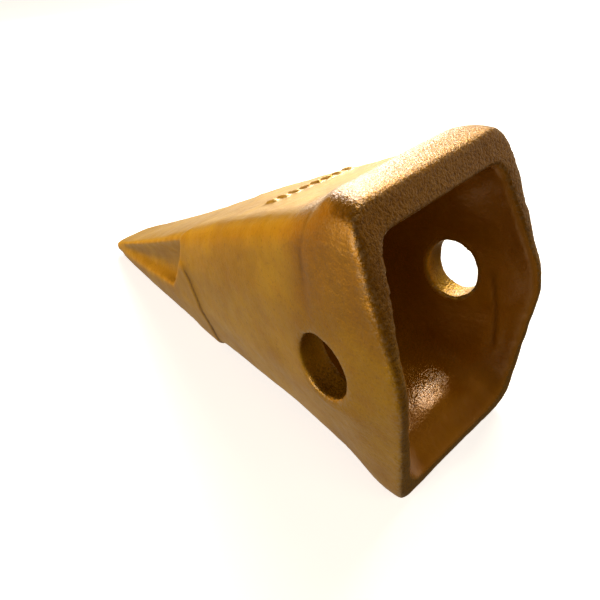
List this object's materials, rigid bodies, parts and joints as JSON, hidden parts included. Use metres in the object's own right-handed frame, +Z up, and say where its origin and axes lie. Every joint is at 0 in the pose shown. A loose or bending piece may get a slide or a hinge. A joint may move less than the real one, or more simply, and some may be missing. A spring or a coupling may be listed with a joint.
{
  "type": "excavator bucket tooth",
  "caption": "Wedge-shaped cast steel digging tooth with a hollow pocket for an adapter nose and a cross-pin bore.",
  "frame": {"origin": "pin axis, midway between the two side walls", "axes": "+X towards the open mouth, so the cutting edge points along -X; +Y across the tooth along the pin; +Z up, with the tooth lying on its underside"},
  "size_m": [0.2971, 0.099, 0.1396],
  "materials": {
    "painted_cast_steel": "glossy golden enamel over a rough sand-cast skin"
  },
  "bodies": {
    "root": {"tooth_casting": "painted_cast_steel"}
  },
  "joints": []
}
